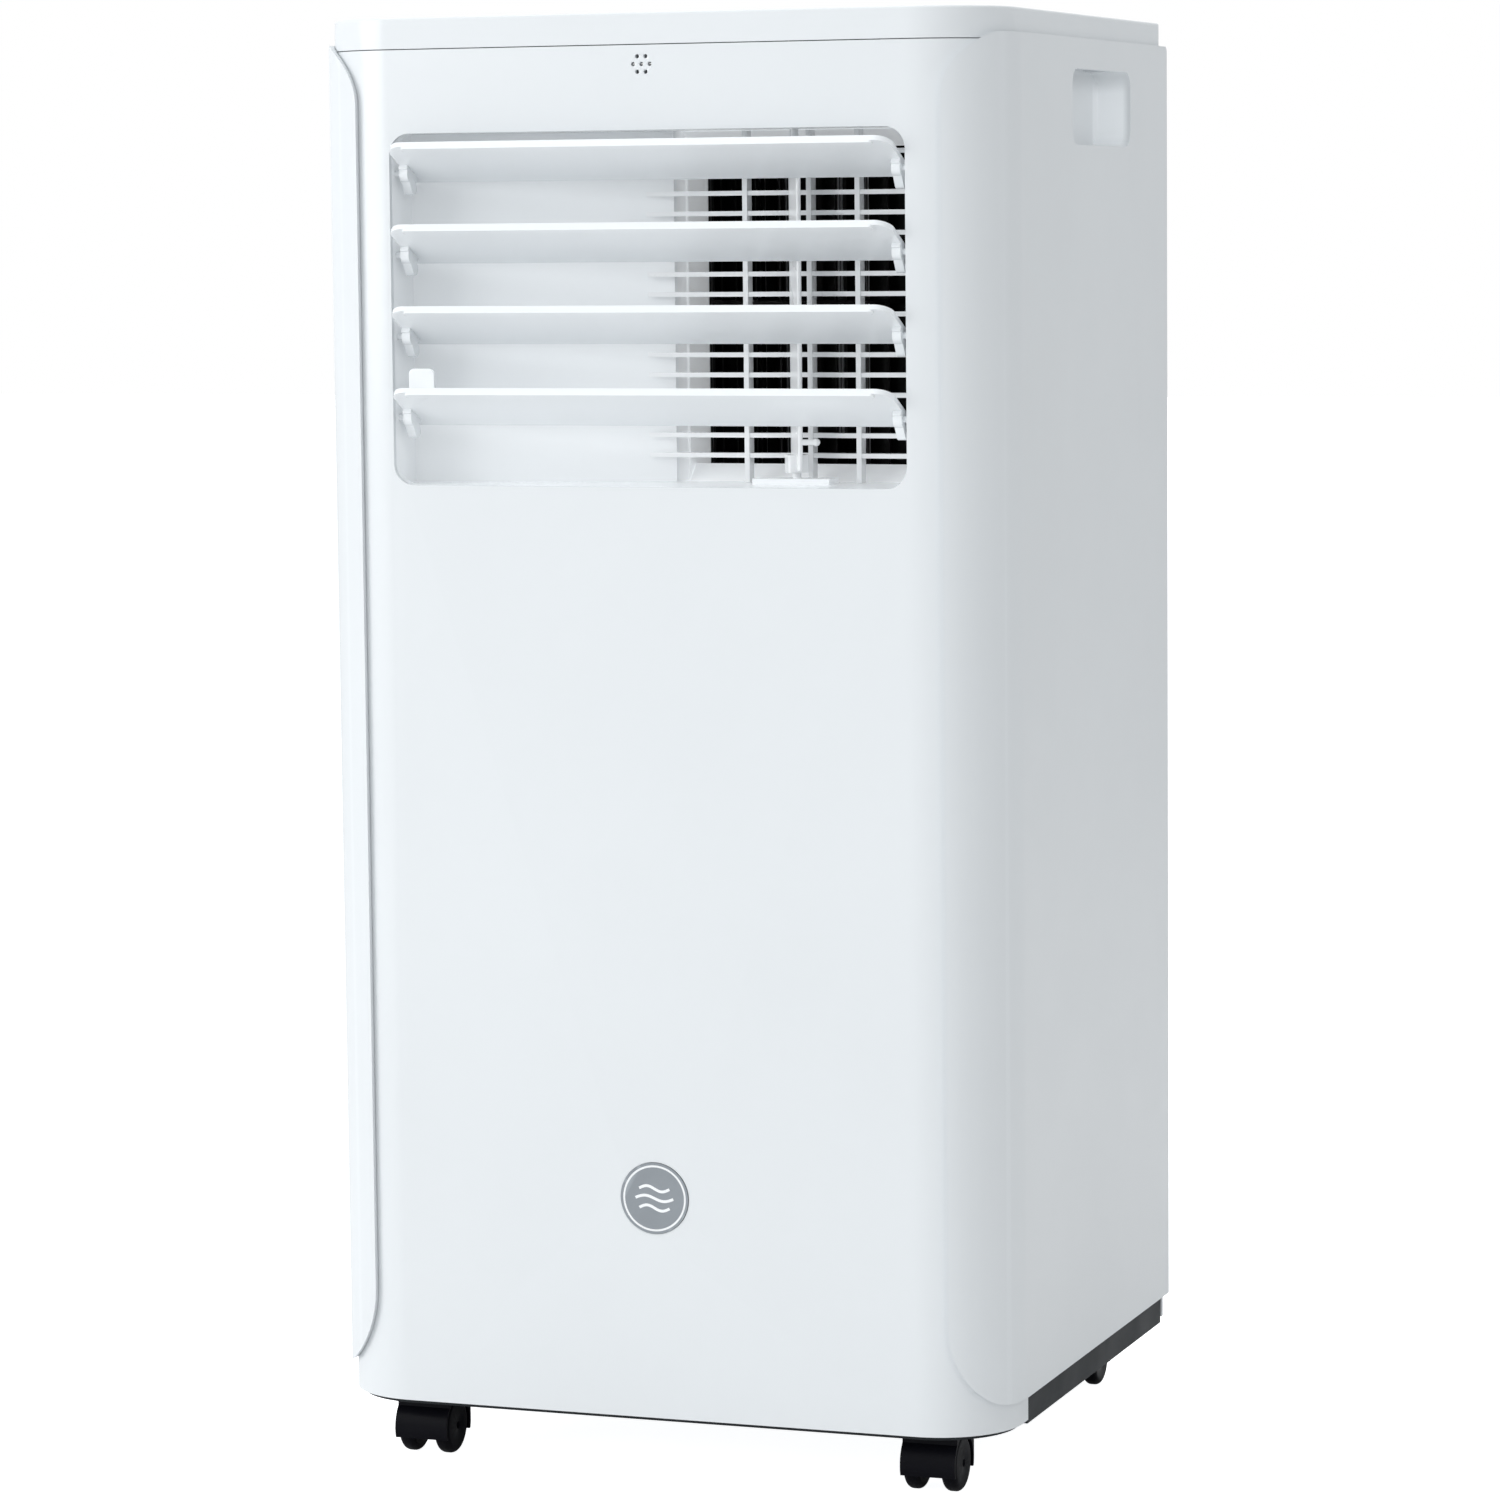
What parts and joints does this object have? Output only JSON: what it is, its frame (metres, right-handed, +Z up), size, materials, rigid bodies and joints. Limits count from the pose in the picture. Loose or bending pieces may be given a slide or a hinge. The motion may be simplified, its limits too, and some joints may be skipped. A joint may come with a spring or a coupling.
{
  "type": "portable air conditioner",
  "caption": "Free-standing room air conditioner on casters: tall rounded cabinet, linked front louvers over a guarded outlet, top keys, rear filter doors and exhaust port.",
  "frame": {"origin": "on the floor, below the middle of the whole object's footprint", "axes": "+X to the right as seen from the front, +Y towards the back, +Z up"},
  "size_m": [0.343, 0.318, 0.692],
  "materials": {
    "white_shell": "satin moulded",
    "side_white": "satin moulded",
    "cover_white": "satin moulded",
    "rear_white": "fine texture",
    "louver_white": "gloss",
    "guard_white": "satin moulded",
    "casing_ivory": "satin moulded",
    "control_grey": "gloss",
    "display_black": "gloss",
    "key_white": "satin",
    "badge_grey": "satin",
    "board_green": "solder mask",
    "pan_grey": "fine texture",
    "fan_black": "satin moulded",
    "scroll_grey": "satin moulded",
    "deck_grey": "satin moulded",
    "fin_aluminium": "mill finish",
    "tube_copper": "drawn copper",
    "motor_steel": "zinc plated",
    "link_steel": "zinc plated",
    "shell_black": "satin enamel",
    "rubber_black": "matt",
    "can_aluminium": "drawn",
    "box_steel": "galvanised",
    "filter_mesh": "woven mesh",
    "caster_black": "fine texture",
    "inlet_grey": "matt",
    "slinger_white": "satin moulded"
  },
  "bodies": {
    "cabinet": {"base_pan": "pan_grey", "front_panel": "white_shell", "left_side_panel": "side_white", "right_side_panel": "side_white", "top_cover": "cover_white", "rear_panel": "rear_white", "badge": "badge_grey", "control_panel": "control_grey", "display_window": "display_black", "control_board": "board_green", "outlet_grille": "guard_white", "fan_casing": "casing_ivory", "fan_casing_lid": "casing_ivory", "evaporator_motor": "motor_steel", "evaporator_fins": "fin_aluminium", "evaporator_tubes": "tube_copper", "condenser_fins": "fin_aluminium", "condenser_tubes": "tube_copper", "condenser_scroll": "scroll_grey", "scroll_cover": "scroll_grey", "condenser_motor": "motor_steel", "mid_deck": "deck_grey", "compressor": "shell_black", "compressor_mounts": "rubber_black", "accumulator": "shell_black", "refrigerant_pipes": "tube_copper", "control_box": "box_steel", "run_capacitor": "can_aluminium", "slinger_motor": "motor_steel", "exhaust_collar": "rear_white", "cord_inlet": "inlet_grey", "panel_screws": "motor_steel", "caster_stems": "motor_steel"},
    "button_power": {"button_power": "key_white"},
    "button_mode": {"button_mode": "key_white"},
    "button_fan": {"button_fan": "key_white"},
    "button_up": {"button_up": "key_white"},
    "button_down": {"button_down": "key_white"},
    "louver_1": {"louver_1": "louver_white"},
    "louver_2": {"louver_2": "louver_white"},
    "louver_3": {"louver_3": "louver_white"},
    "louver_4": {"louver_4": "louver_white"},
    "louver_link": {"louver_link": "link_steel"},
    "vertical_vane": {"vertical_vane": "guard_white"},
    "evaporator_fan": {"evaporator_fan": "fan_black"},
    "condenser_fan": {"condenser_fan": "fan_black"},
    "slinger_wheel": {"slinger_wheel": "slinger_white"},
    "drain_plug": {"drain_plug": "rubber_black"},
    "caster_hood_fl": {"caster_hood_fl": "caster_black"},
    "caster_hood_fr": {"caster_hood_fr": "caster_black"},
    "caster_hood_rl": {"caster_hood_rl": "caster_black"},
    "caster_hood_rr": {"caster_hood_rr": "caster_black"},
    "caster_wheels_fl": {"caster_wheels_fl": "caster_black"},
    "caster_wheels_fr": {"caster_wheels_fr": "caster_black"},
    "caster_wheels_rl": {"caster_wheels_rl": "caster_black"},
    "caster_wheels_rr": {"caster_wheels_rr": "caster_black"},
    "upper_door": {"upper_grille": "rear_white", "upper_filter": "filter_mesh"},
    "lower_door": {"lower_grille": "rear_white", "lower_filter": "filter_mesh"}
  },
  "joints": [
    {"name": "louver_1_turn", "type": "hinge", "parent": "cabinet", "child": "louver_1", "pos_m": [0, -0.1378, 0.6193], "axis": [1, 0, 0], "range_deg": [0, 116]},
    {"name": "louver_2_turn", "type": "hinge", "parent": "cabinet", "child": "louver_2", "pos_m": [0, -0.1378, 0.5811], "axis": [1, 0, 0], "range_deg": [0, 116]},
    {"name": "louver_3_turn", "type": "hinge", "parent": "cabinet", "child": "louver_3", "pos_m": [0, -0.1378, 0.5429], "axis": [1, 0, 0], "range_deg": [0, 116]},
    {"name": "louver_4_turn", "type": "hinge", "parent": "cabinet", "child": "louver_4", "pos_m": [0, -0.1378, 0.5047], "axis": [1, 0, 0], "range_deg": [0, 116]},
    {"name": "link_turn", "type": "hinge", "parent": "louver_4", "child": "louver_link", "pos_m": [0.1258, -0.13356, 0.49792], "axis": [1, 0, 0], "range_deg": [-116, 0]},
    {"name": "vane_turn", "type": "hinge", "parent": "cabinet", "child": "vertical_vane", "pos_m": [0.0618, -0.109, 0.5555], "axis": [0, 0, 1], "range_deg": [-66, 0]},
    {"name": "evaporator_fan_spin", "type": "hinge", "parent": "cabinet", "child": "evaporator_fan", "pos_m": [0.045, -0.015, 0.55], "axis": [0, 0, 1], "continuous": true},
    {"name": "condenser_fan_spin", "type": "hinge", "parent": "cabinet", "child": "condenser_fan", "pos_m": [0.045, 0.06, 0.185], "axis": [0, 1, 0], "continuous": true},
    {"name": "slinger_spin", "type": "hinge", "parent": "cabinet", "child": "slinger_wheel", "pos_m": [-0.105, 0.085, 0.068], "axis": [0, 1, 0], "continuous": true},
    {"name": "upper_door_tilt", "type": "hinge", "parent": "cabinet", "child": "upper_door", "pos_m": [0, 0.1392, 0.468], "axis": [-1, 0, 0], "range_deg": [0, 40]},
    {"name": "lower_door_tilt", "type": "hinge", "parent": "cabinet", "child": "lower_door", "pos_m": [0, 0.1392, 0.088], "axis": [-1, 0, 0], "range_deg": [0, 40]},
    {"name": "drain_plug_pull", "type": "slide", "parent": "cabinet", "child": "drain_plug", "axis": [0, 1, 0], "range_m": [0, 0.022]},
    {"name": "button_power_press", "type": "slide", "parent": "cabinet", "child": "button_power", "axis": [0, 0, -1], "range_m": [0, 0.0008], "stiffness_N_per_m": 1500},
    {"name": "button_mode_press", "type": "slide", "parent": "cabinet", "child": "button_mode", "axis": [0, 0, -1], "range_m": [0, 0.0008], "stiffness_N_per_m": 1500},
    {"name": "button_fan_press", "type": "slide", "parent": "cabinet", "child": "button_fan", "axis": [0, 0, -1], "range_m": [0, 0.0008], "stiffness_N_per_m": 1500},
    {"name": "button_up_press", "type": "slide", "parent": "cabinet", "child": "button_up", "axis": [0, 0, -1], "range_m": [0, 0.0008], "stiffness_N_per_m": 1500},
    {"name": "button_down_press", "type": "slide", "parent": "cabinet", "child": "button_down", "axis": [0, 0, -1], "range_m": [0, 0.0008], "stiffness_N_per_m": 1500},
    {"name": "caster_fl_swivel", "type": "hinge", "parent": "cabinet", "child": "caster_hood_fl", "pos_m": [-0.129, -0.12, 0.026], "axis": [0, 0, 1], "continuous": true},
    {"name": "caster_fl_roll", "type": "hinge", "parent": "caster_hood_fl", "child": "caster_wheels_fl", "pos_m": [-0.129, -0.114, 0.0135], "axis": [1, 0, 0], "continuous": true},
    {"name": "caster_fr_swivel", "type": "hinge", "parent": "cabinet", "child": "caster_hood_fr", "pos_m": [0.129, -0.12, 0.026], "axis": [0, 0, 1], "continuous": true},
    {"name": "caster_fr_roll", "type": "hinge", "parent": "caster_hood_fr", "child": "caster_wheels_fr", "pos_m": [0.129, -0.114, 0.0135], "axis": [1, 0, 0], "continuous": true},
    {"name": "caster_rl_swivel", "type": "hinge", "parent": "cabinet", "child": "caster_hood_rl", "pos_m": [-0.129, 0.116, 0.026], "axis": [0, 0, 1], "continuous": true},
    {"name": "caster_rl_roll", "type": "hinge", "parent": "caster_hood_rl", "child": "caster_wheels_rl", "pos_m": [-0.129, 0.122, 0.0135], "axis": [1, 0, 0], "continuous": true},
    {"name": "caster_rr_swivel", "type": "hinge", "parent": "cabinet", "child": "caster_hood_rr", "pos_m": [0.129, 0.116, 0.026], "axis": [0, 0, 1], "continuous": true},
    {"name": "caster_rr_roll", "type": "hinge", "parent": "caster_hood_rr", "child": "caster_wheels_rr", "pos_m": [0.129, 0.122, 0.0135], "axis": [1, 0, 0], "continuous": true}
  ],
  "couplings": [
    {"joint": "louver_1_turn", "follows": "louver_4_turn", "ratio": 1},
    {"joint": "louver_2_turn", "follows": "louver_4_turn", "ratio": 1},
    {"joint": "louver_3_turn", "follows": "louver_4_turn", "ratio": 1},
    {"joint": "link_turn", "follows": "louver_4_turn", "ratio": -1}
  ]
}
